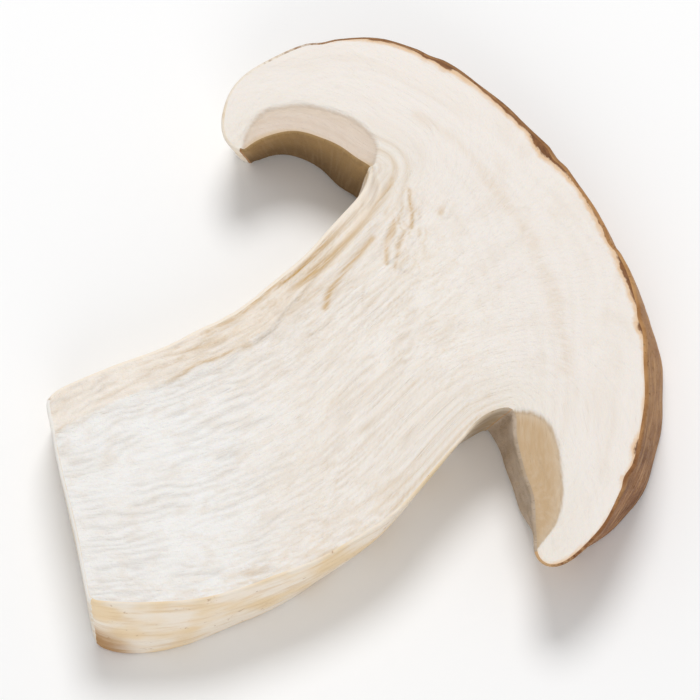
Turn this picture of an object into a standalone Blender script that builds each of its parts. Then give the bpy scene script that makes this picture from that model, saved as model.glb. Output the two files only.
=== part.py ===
"""A lengthwise slice of a porcini mushroom, lying on its wider cut face.

The slice grew as one piece, so it is one solid. Its two cut faces have outlines of their own,
because the cap and the stem round away from the middle of the mushroom, and the wall between
the faces is the mushroom's natural outside: brown cap skin, stem skin and the pores under the
cap. Only the stem's base is a third cut.

The top face looks up along +Z, +Y runs from the stem's cut end to the top of the cap, and the
origin is on the surface that the slice lies on, under the middle of its box.
"""

import math

import bmesh
import bpy
from mathutils import Vector
from mathutils.geometry import delaunay_2d_cdt

# Sizes are in millimetres until the mesh is written.
METRES_PER_MM = 0.001
THICKNESS = 9.5
RIM_RADIUS = 0.4
TUBE_RECESS = 0.45
SHOULDER_DROP = 1.2
RIDGE_HEIGHT = 0.4
RIDGE_WIDTH = 0.7
SWELL_HEIGHT = 0.06
SWELL_COUNT = 12
FLAKE_HEIGHT = 0.35
FLAKE_WIDTH = 0.55
PORE_DEPTH = 0.18
SHARP_ANGLE = math.radians(38)

# How finely the mesh is laid out: the rows of the wall, the steps of a guide line, and the points
# set along both sides of a ridge or of the tubes' border
WALL_ROWS = 6
GUIDE_STEPS = 24
FEATURE_PITCH = 1.3
FEATURE_GAP = 0.3
# Points along a fibre are this share of the way to the next fibre apart, up to a longest step.
FIBRE_STEP = 0.7
LONGEST_FIBRE_STEP = 3.0
# How near points may come to the edge and to each other, and the span over which slope is taken
EDGE_CLEARANCE = 0.35
FIBRE_CLEARANCE = 0.9
SLOPE_SPAN = 0.1
MERGE_DISTANCE = 1e-4

# The stretches of each outline, counter-clockwise seen from above, and the columns that each gets.
# Each list starts where the one before it ends. The cap's two inrolled lips end the skin.
COLUMNS = {
    "cut_end": 14,
    "stem_right": 34,
    "pores_right": 22,
    "skin": 96,
    "pores_left": 20,
    "stem_left": 32,
}
# How far the wall stands proud of a straight one, halfway down the middle of each stretch
BULGE = {
    "cut_end": 0.0,
    "stem_right": 0.5,
    "pores_right": 0.0,
    "skin": 0.25,
    "pores_left": 0.0,
    "stem_left": 0.5,
}
TOP_FACE = {
    "cut_end": [(-15.1, -31.6), (-6.5, -35.6), (2.0, -39.1), (10.7, -43.1)],
    "stem_right": [
        (10.7, -43.1), (16.0, -36.0), (18.9, -29.5), (20.6, -22.5), (21.2, -16.0),
        (20.9, -10.0), (19.3, -3.4), (17.3, 2.8), (16.3, 7.2), (17.0, 10.4),
    ],
    "pores_right": [
        (17.0, 10.4), (21.2, 7.8), (26.3, 5.8), (30.4, 3.7), (33.8, 1.5),
    ],
    "skin": [
        (33.8, 1.5), (35.2, 1.3), (36.6, 2.2), (36.9, 5.6), (35.3, 10.9), (31.7, 16.6),
        (26.1, 22.6), (18.4, 28.1), (8.6, 32.4), (-2.5, 34.7), (-14.0, 34.5),
        (-24.5, 32.6), (-33.2, 28.0), (-37.4, 22.0), (-38.5, 15.4), (-37.6, 9.9),
        (-35.2, 6.5), (-31.9, 4.7), (-29.2, 5.2),
    ],
    "pores_left": [
        (-29.2, 5.2), (-29.8, 8.6), (-28.3, 12.0), (-25.0, 14.2), (-21.8, 15.2),
        (-19.0, 16.6),
    ],
    "stem_left": [
        (-19.0, 16.6), (-17.1, 13.0), (-15.1, 6.8), (-13.6, 0.4), (-12.6, -6.8),
        (-12.9, -14.0), (-14.4, -22.0), (-15.5, -28.5), (-15.1, -31.6),
    ],
}
BOTTOM_FACE = {
    "cut_end": [(-15.6, -30.6), (-6.5, -34.7), (2.2, -38.5), (11.0, -42.6)],
    "stem_right": [
        (11.0, -42.6), (13.6, -40.8), (15.9, -37.0), (17.5, -31.0), (18.3, -24.0),
        (18.1, -17.0), (17.3, -10.2), (15.2, -3.2), (13.1, 3.8), (12.5, 10.2),
    ],
    "pores_right": [
        (12.5, 10.2), (16.5, 9.3), (21.3, 7.6), (25.9, 6.5), (29.8, 6.1),
    ],
    "skin": [
        (29.8, 6.1), (31.0, 6.1), (32.0, 7.5), (32.4, 10.2), (31.7, 15.2), (29.2, 20.5),
        (23.6, 26.9), (15.6, 32.3), (5.5, 35.8), (-5.5, 36.9), (-16.5, 36.5),
        (-27.0, 34.2), (-35.2, 29.2), (-39.4, 22.5), (-39.9, 15.9), (-38.2, 11.2),
        (-35.6, 8.7), (-33.8, 8.1), (-32.6, 8.9),
    ],
    "pores_left": [
        (-32.6, 8.9), (-31.9, 11.6), (-28.9, 14.3), (-25.0, 15.3), (-21.2, 16.3),
    ],
    "stem_left": [
        (-21.2, 16.3), (-18.4, 11.8), (-16.3, 5.8), (-15.1, -1.0), (-14.7, -8.0),
        (-15.2, -15.0), (-16.1, -21.5), (-16.4, -27.0), (-15.6, -30.6),
    ],
}
# Where the flesh ends and the tube layer begins on each face, from the stem to the lip or back
TOP_TUBES = {
    "pores_right": [
        (17.0, 10.4), (18.8, 12.3), (21.1, 12.8), (23.9, 11.9), (26.9, 10.2),
        (29.7, 8.3), (32.0, 5.8), (33.8, 1.5),
    ],
    "pores_left": [
        (-29.2, 5.2), (-31.5, 7.4), (-32.8, 10.8), (-31.3, 14.6), (-28.3, 17.4),
        (-25.1, 18.9), (-21.5, 18.9), (-19.0, 16.6),
    ],
}
BOTTOM_TUBES = {
    "pores_right": [
        (12.5, 10.2), (14.4, 12.6), (17.8, 13.6), (21.2, 13.0), (24.6, 11.4),
        (27.4, 9.4), (29.8, 6.1),
    ],
    "pores_left": [
        (-32.6, 8.9), (-34.7, 11.0), (-34.6, 14.2), (-32.4, 17.4), (-28.8, 19.3),
        (-24.8, 19.3), (-21.2, 16.3),
    ],
}
# Torn fibres stand up in ridges along the stem's left shoulder, which drops away past the first.
SHOULDER_RIDGE = [
    (-10.0, -33.8), (-9.4, -26.0), (-8.3, -18.0), (-7.4, -11.0), (-7.9, -5.2),
    (-9.3, 0.8), (-10.8, 6.2), (-12.7, 11.2), (-15.2, 15.0), (-19.0, 16.6),
]
RIDGES = [
    SHOULDER_RIDGE,
    [(-12.4, -25.0), (-11.1, -17.0), (-10.2, -9.0), (-11.4, -1.0), (-12.9, 6.0), (-15.1, 11.8)],
    [(-6.2, -5.4), (-7.2, 0.0), (-8.9, 4.4), (-10.5, 7.8), (-12.2, 12.2)],
    [(-4.8, -2.0), (-5.5, 1.0), (-7.4, 4.6), (-8.8, 7.4), (-9.7, 10.4)],
]
# Small flakes of torn flesh between the left hollow and the middle of the cap
FLAKES = [
    [(-7.1, 10.8), (-10.0, 13.9)],
    [(-8.8, 9.9), (-11.6, 13.2)],
    [(-5.4, 11.2), (-8.4, 14.6)],
    [(-11.5, 15.1), (-14.0, 17.8)],
    [(-10.2, 16.2), (-12.8, 18.9)],
    [(-8.8, 19.4), (-9.8, 21.0)],
]

# Small nicks in the skin's upper edge, as (share of the way along the skin, depth)
RIM_NICKS = [(0.15, 0.3), (0.33, 0.25), (0.42, 0.3), (0.53, 0.35), (0.7, 0.2), (0.81, 0.25)]
NICK_REACH = 0.016
NICK_FOOT = 0.35
# The grown wall's slow unevenness, as (waves round the outline, height), and how far each wave
# turns from the upper edge to the lower one, in radians
WALL_WAVES = [(7, 0.14), (13, 0.12), (31, 0.07)]
WAVE_TURN = 2.2
# The way the fibres set out from the stem's cut end, where their swells fade out in the cap, as
# distances from that end, what is left of them there, and how they come and go: the share of
# their height that changes, and its turn in radians for 1 mm along and for the whole way across
FIBRES_SET_OUT = Vector((0.3, 1.0))
SWELLS_FADE = (44.0, 62.0)
SWELLS_LEFT = 0.35
SWELLS_VARY = 0.5
VARY_ALONG = 0.33
VARY_ACROSS = 29.0

FLESH = ("flesh", (0.87, 0.83, 0.77, 1.0), 0.75)
SKIN = ("cap_skin", (0.33, 0.19, 0.10, 1.0), 0.6)
PORES = ("pore_layer", (0.62, 0.53, 0.40, 1.0), 0.8)
STEM_SKIN = ("stem_skin", (0.70, 0.56, 0.38, 1.0), 0.75)
WALL_FINISH = {
    "cut_end": FLESH,
    "stem_right": STEM_SKIN,
    "pores_right": PORES,
    "skin": SKIN,
    "pores_left": PORES,
    "stem_left": STEM_SKIN,
}
FINISHES = [FLESH, SKIN, PORES, STEM_SKIN]


def clear_scene():
    for obj in list(bpy.data.objects):
        bpy.data.objects.remove(obj)


def finish_material(name, colour, roughness):
    material = bpy.data.materials.new(name)
    material.use_nodes = True
    shader = material.node_tree.nodes["Principled BSDF"]
    shader.inputs["Base Color"].default_value = colour
    shader.inputs["Roughness"].default_value = roughness
    shader.inputs["Metallic"].default_value = 0.0
    return material


def curve_through(points, steps=12):
    """A fine Catmull-Rom curve through the points."""
    knots = [Vector(p) for p in points]
    knots = [2 * knots[0] - knots[1], *knots, 2 * knots[-1] - knots[-2]]
    curve = []
    for a, b, c, d in zip(knots, knots[1:], knots[2:], knots[3:]):
        for step in range(steps):
            t = step / steps
            curve.append(
                0.5 * (2 * b + (c - a) * t + (2 * a - 5 * b + 4 * c - d) * t**2
                       + (3 * b - a - 3 * c + d) * t**3)
            )
    curve.append(knots[-2])
    return curve


def spaced(points, count):
    """count + 1 points at equal distances along the curve through the points."""
    curve = curve_through(points)
    travelled = [0.0]
    for a, b in zip(curve, curve[1:]):
        travelled.append(travelled[-1] + (b - a).length)
    made = []
    at = 0
    for step in range(count + 1):
        wanted = travelled[-1] * step / count
        while at < len(curve) - 2 and travelled[at + 1] < wanted:
            at += 1
        share = (wanted - travelled[at]) / (travelled[at + 1] - travelled[at])
        made.append(curve[at].lerp(curve[at + 1], share))
    return made


def outline(face):
    """The face's closed outline as [(stretch, share of the way along it, point)]."""
    made = []
    for stretch, count in COLUMNS.items():
        points = spaced(face[stretch], count)[:-1]
        made += [(stretch, step / count, point) for step, point in enumerate(points)]
    return made


def outward(ring):
    """The outward direction at each point of a closed counter-clockwise ring."""
    directions = []
    for i, point in enumerate(ring):
        before = (point - ring[i - 1]).normalized()
        after = (ring[(i + 1) % len(ring)] - point).normalized()
        along = (before + after).normalized()
        directions.append(Vector((along.y, -along.x)))
    return directions


def distance_to(line, point):
    """How far the point is from a line of points."""
    best = math.inf
    for a, b in zip(line, line[1:]):
        side = b - a
        share = max(0.0, min(1.0, (point - a).dot(side) / side.length_squared))
        best = min(best, (a + side * share - point).length)
    return best


def inside(ring, point):
    """Whether the point is within a closed ring, by counting the sides that it is left of."""
    found = False
    for i, b in enumerate(ring):
        a = ring[i - 1]
        if (a.y > point.y) != (b.y > point.y):
            crossing = a.x + (b.x - a.x) * (point.y - a.y) / (b.y - a.y)
            if point.x < crossing:
                found = not found
    return found


def tube_regions(face, tubes):
    """The parts of a cut face that are tube layer, as closed rings."""
    rings = []
    for stretch, line in tubes.items():
        pore_edge = spaced(face[stretch], GUIDE_STEPS)
        rings.append(pore_edge[:-1] + spaced(line, GUIDE_STEPS)[:0:-1])
    return rings


def smooth_step(share):
    share = max(0.0, min(1.0, share))
    return share * share * (3 - 2 * share)


class TopSurface:
    """The height of the upper cut face, with its recessed tubes, torn ridges and fibre swells."""

    has_fibres = True

    def __init__(self):
        self.tubes = tube_regions(TOP_FACE, TOP_TUBES)
        self.ridges = [spaced(line, GUIDE_STEPS) for line in RIDGES]
        self.flakes = [[Vector(end) for end in flake] for flake in FLAKES]
        edge = {stretch: spaced(line, GUIDE_STEPS) for stretch, line in TOP_FACE.items()}
        self.cut_end = edge["cut_end"]
        self.stem_left = edge["stem_left"]
        self.left = edge["pores_left"][:-1] + edge["stem_left"]
        self.right = edge["stem_right"][:-1] + edge["pores_right"]

    def height(self, point):
        level = THICKNESS
        if self.in_tubes(point):
            return level - TUBE_RECESS
        to_ridge = distance_to(self.ridges[0], point)
        to_edge = distance_to(self.stem_left, point)
        if self.past_shoulder(point):
            level -= SHOULDER_DROP * smooth_step(to_ridge / (to_ridge + to_edge))
        for ridge in self.ridges:
            level += RIDGE_HEIGHT * math.exp(-((distance_to(ridge, point) / RIDGE_WIDTH) ** 2))
        for flake in self.flakes:
            level += FLAKE_HEIGHT * math.exp(-((distance_to(flake, point) / FLAKE_WIDTH) ** 2))
        return level + self.swell(point)

    def in_tubes(self, point):
        return any(inside(ring, point) for ring in self.tubes)

    def swell(self, point):
        """The low swells that run with the fibres, up to the cap where they fan out and fade."""
        start, end = SWELLS_FADE
        from_cut, across = distance_to(self.cut_end, point), self.across(point)
        faded = smooth_step((from_cut - start) / (end - start))
        varied = math.sin(VARY_ALONG * from_cut + VARY_ACROSS * across)
        height = SWELL_HEIGHT * (1 - (1 - SWELLS_LEFT) * faded) * (1 + SWELLS_VARY * varied)
        return height * math.sin(2 * math.pi * SWELL_COUNT * across)

    def across(self, point):
        """0 at the left of the stem and cap to 1 at the right, constant along each fibre."""
        from_left = distance_to(self.left, point)
        return from_left / (from_left + distance_to(self.right, point))

    def across_slope(self, point):
        """The direction in which `across` grows, as long as its growth in 1 mm."""
        growth = []
        for step in (Vector((SLOPE_SPAN / 2, 0)), Vector((0, SLOPE_SPAN / 2))):
            growth.append(self.across(point + step) - self.across(point - step))
        return Vector(growth) / SLOPE_SPAN

    def fibre(self, ring, across):
        """Points along the line of one `across` value, from the cut end to the skin."""
        lines = 2 * SWELL_COUNT
        point = self.cut_end[0].lerp(self.cut_end[-1], across)
        heading = FIBRES_SET_OUT
        found = []
        while not found or inside(ring, point):
            found.append(point)
            slope = self.across_slope(point)
            along = Vector((-slope.y, slope.x)).normalized()
            heading = along if along.dot(heading) > 0 else -along
            to_next_line = 1 / (lines * slope.length)
            point = point + heading * min(LONGEST_FIBRE_STEP, FIBRE_STEP * to_next_line)
            slope = self.across_slope(point)
            point = point - slope * ((self.across(point) - across) / slope.length_squared)
        return found[1:]

    def past_shoulder(self, point):
        """Whether the point is on the side of the shoulder ridge that drops to the stem's left."""
        ring = self.ridges[0] + self.stem_left
        return inside(ring, point)


class BottomSurface:
    """The height of the lower cut face, which is flat apart from its recessed tubes."""

    has_fibres = False

    def __init__(self):
        self.tubes = tube_regions(BOTTOM_FACE, BOTTOM_TUBES)

    def height(self, point):
        in_tubes = any(inside(ring, point) for ring in self.tubes)
        return TUBE_RECESS if in_tubes else 0.0


def feature_points(lines):
    """Points on both sides of each line, which keep a step or a ridge sharp."""
    found = []
    for line in lines:
        length = sum((b - a).length for a, b in zip(line, line[1:]))
        run = spaced(line, max(2, round(length / FEATURE_PITCH)))
        for i in range(1, len(run) - 1):
            along = (run[i + 1] - run[i - 1]).normalized()
            aside = Vector((along.y, -along.x)) * FEATURE_GAP
            found += [run[i] + aside, run[i] - aside]
    return found


def fibre_points(surface, ring, taken):
    """Points on the crest and in the trough of each swell that keep clear of the points taken."""
    lines = 2 * SWELL_COUNT
    found = []
    for line in range(lines):
        for point in surface.fibre(ring, (line + 0.5) / lines):
            clear = all((point - other).length > FIBRE_CLEARANCE for other in taken + found)
            if clear and not surface.in_tubes(point):
                found.append(point)
    return found


def face_triangles(ring, lines, surface):
    """(points, triangles) that fill the ring. Its own points come first, in order."""
    loop = ring + ring[:1]
    marks = [p for p in feature_points(lines)
             if inside(ring, p) and distance_to(loop, p) > EDGE_CLEARANCE]
    points = ring + marks
    if surface.has_fibres:
        points = points + fibre_points(surface, ring, points)
    sides = [(i, (i + 1) % len(ring)) for i in range(len(ring))]
    inner_triangles = 1
    filled = delaunay_2d_cdt(points, sides, [], inner_triangles, MERGE_DISTANCE)
    origin = [ids[0] for ids in filled[3]]
    return points, [[origin[i] for i in triangle] for triangle in filled[2]]


def nick_depth(along):
    """How deep the skin's edge is nicked at a share of the way along it."""
    return sum(depth * smooth_step(1 - abs(along - at) / NICK_REACH) for at, depth in RIM_NICKS)


def wall_wave(around, share):
    """How far the grown wall stands out at a share of the way round it and down it."""
    turn = WAVE_TURN * share
    return sum(height * math.sin(2 * math.pi * waves * around + turn)
               for waves, height in WALL_WAVES)


def wall_rings(top, bottom):
    """The wall's rings from the top face's edge down to the bottom face's, as [(x, y, share)]."""
    top_out = outward([p for _, _, p in top])
    bottom_out = outward([p for _, _, p in bottom])
    rim_share = RIM_RADIUS / THICKNESS
    shares = [0.0] + [rim_share + (1 - 2 * rim_share) * i / (WALL_ROWS - 1)
                      for i in range(WALL_ROWS)] + [1.0]
    last = len(shares) - 1
    rings = []
    for row, share in enumerate(shares):
        ring = []
        for column, (stretch, along, point) in enumerate(top):
            aside = top_out[column].lerp(bottom_out[column], share).normalized()
            offset = BULGE[stretch] * math.sin(math.pi * along) * 4 * share * (1 - share)
            if stretch != "cut_end":
                offset += wall_wave(column / len(top), share)
            if stretch == "skin":
                offset -= nick_depth(along) * max(0.0, 1 - share / NICK_FOOT)
            if row in (0, last):
                offset -= RIM_RADIUS
            elif stretch.startswith("pores") and 1 < row < last - 1 and (row + column) % 2:
                offset -= PORE_DEPTH
            ring.append((point.lerp(bottom[column][2], share) + aside * offset, share))
        rings.append(ring)
    return rings


def slice_mesh():
    """The whole slice as one closed mesh, in metres, centred over the origin."""
    top, bottom = outline(TOP_FACE), outline(BOTTOM_FACE)
    rings = wall_rings(top, bottom)
    top_ring = [point for point, _ in rings[0]]
    bottom_ring = [point for point, _ in rings[-1]]
    top_lines = [spaced(line, GUIDE_STEPS) for line in [*TOP_TUBES.values(), *RIDGES, *FLAKES]]
    bottom_lines = [spaced(line, GUIDE_STEPS) for line in BOTTOM_TUBES.values()]
    upper, lower = TopSurface(), BottomSurface()

    mesh = bmesh.new()

    def vertex(point, height):
        return mesh.verts.new((point.x, point.y, height))

    top_points, top_faces = face_triangles(top_ring, top_lines, upper)
    top_verts = [vertex(p, upper.height(p)) for p in top_points]
    bottom_points, bottom_faces = face_triangles(bottom_ring, bottom_lines, lower)
    bottom_verts = [vertex(p, lower.height(p)) for p in bottom_points]
    count = len(top_ring)
    wall_verts = [top_verts[:count]]
    for ring in rings[1:-1]:
        row = []
        for column, (point, share) in enumerate(ring):
            high, low = top_verts[column].co.z, bottom_verts[column].co.z
            row.append(vertex(point, high + (low - high) * share))
        wall_verts.append(row)
    wall_verts.append(bottom_verts[:count])

    finish_of = {finish: index for index, finish in enumerate(FINISHES)}
    for triangle in top_faces:
        mesh.faces.new([top_verts[i] for i in triangle])
    for triangle in bottom_faces:
        mesh.faces.new([bottom_verts[i] for i in reversed(triangle)])
    for upper_row, lower_row in zip(wall_verts, wall_verts[1:]):
        for column in range(count):
            after = (column + 1) % count
            face = mesh.faces.new(
                (upper_row[column], lower_row[column], lower_row[after], upper_row[after])
            )
            face.material_index = finish_of[WALL_FINISH[top[column][0]]]
    bmesh.ops.triangulate(mesh, faces=mesh.faces[:])
    bmesh.ops.recalc_face_normals(mesh, faces=mesh.faces[:])

    low = Vector(min(v.co[axis] for v in mesh.verts) for axis in range(3))
    high = Vector(max(v.co[axis] for v in mesh.verts) for axis in range(3))
    middle = (low + high) / 2
    bmesh.ops.translate(mesh, verts=mesh.verts[:], vec=(-middle.x, -middle.y, -low.z))
    bmesh.ops.scale(mesh, verts=mesh.verts[:], vec=(METRES_PER_MM,) * 3)
    return mesh


def build_slice():
    data = bpy.data.meshes.new("porcini_slice")
    mesh = slice_mesh()
    mesh.to_mesh(data)
    mesh.free()
    for finish in FINISHES:
        data.materials.append(finish_material(*finish))
    data.shade_smooth()
    data.set_sharp_from_angle(angle=SHARP_ANGLE)
    obj = bpy.data.objects.new("porcini_slice", data)
    bpy.context.scene.collection.objects.link(obj)
    return obj


clear_scene()
build_slice()
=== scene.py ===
"""Looks of the porcini slice: finely worked flesh, skin and pores, their materials, and the studio."""

import math
from collections import namedtuple
from types import SimpleNamespace

import bpy
import numpy as np
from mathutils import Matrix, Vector
from mathutils.geometry import delaunay_2d_cdt


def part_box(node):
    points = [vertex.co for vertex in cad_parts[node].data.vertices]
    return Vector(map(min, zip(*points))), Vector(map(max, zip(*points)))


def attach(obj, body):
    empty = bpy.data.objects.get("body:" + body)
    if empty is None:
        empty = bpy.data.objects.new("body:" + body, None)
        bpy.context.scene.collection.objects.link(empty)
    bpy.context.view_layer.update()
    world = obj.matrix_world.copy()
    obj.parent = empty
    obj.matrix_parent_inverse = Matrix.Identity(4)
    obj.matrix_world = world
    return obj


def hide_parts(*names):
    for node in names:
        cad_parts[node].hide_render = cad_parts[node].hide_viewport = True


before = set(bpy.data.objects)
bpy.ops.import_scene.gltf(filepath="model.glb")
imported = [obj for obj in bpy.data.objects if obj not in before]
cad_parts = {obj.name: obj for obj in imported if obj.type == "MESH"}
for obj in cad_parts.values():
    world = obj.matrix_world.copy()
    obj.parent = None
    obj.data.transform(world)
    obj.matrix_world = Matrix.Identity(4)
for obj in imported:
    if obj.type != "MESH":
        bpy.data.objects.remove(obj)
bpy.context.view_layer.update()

# Sizes are in millimetres until a mesh is written, and the outlines are those of the CAD solid.
METRES_PER_MM = 0.001
NODE = "porcini_slice"
THICKNESS = 9.5
RIM_RADIUS = 0.4
TUBE_RECESS = 0.45
# The depths into the tube layer between which the face steps down to it
TUBE_EDGE = (-0.15, 0.2)
SHOULDER_DROP = 1.2
RIDGE_HEIGHT = 0.4
RIDGE_WIDTH = 0.7
FLAKE_HEIGHT = 0.35
FLAKE_WIDTH = 0.45
COLUMN_PITCH = 0.38
TOP_PITCH = 0.3
BOTTOM_PITCH = 0.5
RIM_STEPS = 4
WALL_STEPS = 22
SLICE_LENGTH = 80.0
STEM_WIDTH = 34.0
CORNER_SOFTENING = 9
# The shares of the way down the wall between which its pale upper edge fades out
EDGE_FADE = (0.12, 0.03)
# The material slots are flesh on the two cut faces, then the cut end, the skin, the pores and the stem
WALL_SLOT = {
    "cut_end": 1,
    "skin": 2,
    "pores_left": 3,
    "pores_right": 3,
    "stem_left": 4,
    "stem_right": 4,
}

# The CAD solid's columns of each stretch, which set the phase of the wall's unevenness
CAD_COLUMNS = {
    "cut_end": 14,
    "stem_right": 34,
    "pores_right": 22,
    "skin": 96,
    "pores_left": 20,
    "stem_left": 32,
}
BULGE = {
    "cut_end": 0.0,
    "stem_right": 0.5,
    "pores_right": 0.0,
    "skin": 0.25,
    "pores_left": 0.0,
    "stem_left": 0.5,
}
TOP_FACE = {
    "cut_end": [(-15.1, -31.6), (-6.5, -35.6), (2.0, -39.1), (10.7, -43.1)],
    "stem_right": [
        (10.7, -43.1), (16.0, -36.0), (18.9, -29.5), (20.6, -22.5), (21.2, -16.0),
        (20.9, -10.0), (19.3, -3.4), (17.3, 2.8), (16.3, 7.2), (17.0, 10.4),
    ],
    "pores_right": [
        (17.0, 10.4), (21.2, 7.8), (26.3, 5.8), (30.4, 3.7), (33.8, 1.5),
    ],
    "skin": [
        (33.8, 1.5), (35.2, 1.3), (36.6, 2.2), (36.9, 5.6), (35.3, 10.9), (31.7, 16.6),
        (26.1, 22.6), (18.4, 28.1), (8.6, 32.4), (-2.5, 34.7), (-14.0, 34.5),
        (-24.5, 32.6), (-33.2, 28.0), (-37.4, 22.0), (-38.5, 15.4), (-37.6, 9.9),
        (-35.2, 6.5), (-31.9, 4.7), (-29.2, 5.2),
    ],
    "pores_left": [
        (-29.2, 5.2), (-29.8, 8.6), (-28.3, 12.0), (-25.0, 14.2), (-21.8, 15.2),
        (-19.0, 16.6),
    ],
    "stem_left": [
        (-19.0, 16.6), (-17.1, 13.0), (-15.1, 6.8), (-13.6, 0.4), (-12.6, -6.8),
        (-12.9, -14.0), (-14.4, -22.0), (-15.5, -28.5), (-15.1, -31.6),
    ],
}
BOTTOM_FACE = {
    "cut_end": [(-15.6, -30.6), (-6.5, -34.7), (2.2, -38.5), (11.0, -42.6)],
    "stem_right": [
        (11.0, -42.6), (13.6, -40.8), (15.9, -37.0), (17.5, -31.0), (18.3, -24.0),
        (18.1, -17.0), (17.3, -10.2), (15.2, -3.2), (13.1, 3.8), (12.5, 10.2),
    ],
    "pores_right": [
        (12.5, 10.2), (16.5, 9.3), (21.3, 7.6), (25.9, 6.5), (29.8, 6.1),
    ],
    "skin": [
        (29.8, 6.1), (31.0, 6.1), (32.0, 7.5), (32.4, 10.2), (31.7, 15.2), (29.2, 20.5),
        (23.6, 26.9), (15.6, 32.3), (5.5, 35.8), (-5.5, 36.9), (-16.5, 36.5),
        (-27.0, 34.2), (-35.2, 29.2), (-39.4, 22.5), (-39.9, 15.9), (-38.2, 11.2),
        (-35.6, 8.7), (-33.8, 8.1), (-32.6, 8.9),
    ],
    "pores_left": [
        (-32.6, 8.9), (-31.9, 11.6), (-28.9, 14.3), (-25.0, 15.3), (-21.2, 16.3),
    ],
    "stem_left": [
        (-21.2, 16.3), (-18.4, 11.8), (-16.3, 5.8), (-15.1, -1.0), (-14.7, -8.0),
        (-15.2, -15.0), (-16.1, -21.5), (-16.4, -27.0), (-15.6, -30.6),
    ],
}
TOP_TUBES = {
    "pores_right": [
        (17.0, 10.4), (18.8, 12.3), (21.1, 12.8), (23.9, 11.9), (26.9, 10.2),
        (29.7, 8.3), (32.0, 5.8), (33.8, 1.5),
    ],
    "pores_left": [
        (-29.2, 5.2), (-31.5, 7.4), (-32.8, 10.8), (-31.3, 14.6), (-28.3, 17.4),
        (-25.1, 18.9), (-21.5, 18.9), (-19.0, 16.6),
    ],
}
BOTTOM_TUBES = {
    "pores_right": [
        (12.5, 10.2), (14.4, 12.6), (17.8, 13.6), (21.2, 13.0), (24.6, 11.4),
        (27.4, 9.4), (29.8, 6.1),
    ],
    "pores_left": [
        (-32.6, 8.9), (-34.7, 11.0), (-34.6, 14.2), (-32.4, 17.4), (-28.8, 19.3),
        (-24.8, 19.3), (-21.2, 16.3),
    ],
}
SHOULDER_RIDGE = [
    (-10.0, -33.8), (-9.4, -26.0), (-8.3, -18.0), (-7.4, -11.0), (-7.9, -5.2),
    (-9.3, 0.8), (-10.8, 6.2), (-12.7, 11.2), (-15.2, 15.0), (-19.0, 16.6),
]
RIDGES = [
    SHOULDER_RIDGE,
    [(-12.4, -25.0), (-11.1, -17.0), (-10.2, -9.0), (-11.4, -1.0), (-12.9, 6.0), (-15.1, 11.8)],
    [(-6.2, -5.4), (-7.2, 0.0), (-8.9, 4.4), (-10.5, 7.8), (-12.2, 12.2)],
    [(-4.8, -2.0), (-5.5, 1.0), (-7.4, 4.6), (-8.8, 7.4), (-9.7, 10.4)],
]
FLAKES = [
    [(-7.1, 10.8), (-10.0, 13.9)],
    [(-8.8, 9.9), (-11.6, 13.2)],
    [(-5.4, 11.2), (-8.4, 14.6)],
    [(-11.5, 15.1), (-14.0, 17.8)],
    [(-10.2, 16.2), (-12.8, 18.9)],
    [(-8.8, 19.4), (-9.8, 21.0)],
]
RIM_NICKS = [(0.15, 0.3), (0.33, 0.25), (0.42, 0.3), (0.53, 0.35), (0.7, 0.2), (0.81, 0.25)]
NICK_REACH = 0.016
NICK_FOOT = 0.35
WALL_WAVES = [(7, 0.14), (13, 0.12), (31, 0.07)]
WAVE_TURN = 2.2
# Short torn fibres lie round this place, between the left hollow and the cap's middle: how far they
# reach along their heading and across it, and the heading
TORN_AT = (-9.6, 14.2)
TORN_REACH = (4.6, 2.9)
TORN_HEADING = 2.45
TORN_PITCH = 0.8
TORN_LENGTH = 2.4
TORN_HEIGHT = 0.1
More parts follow.
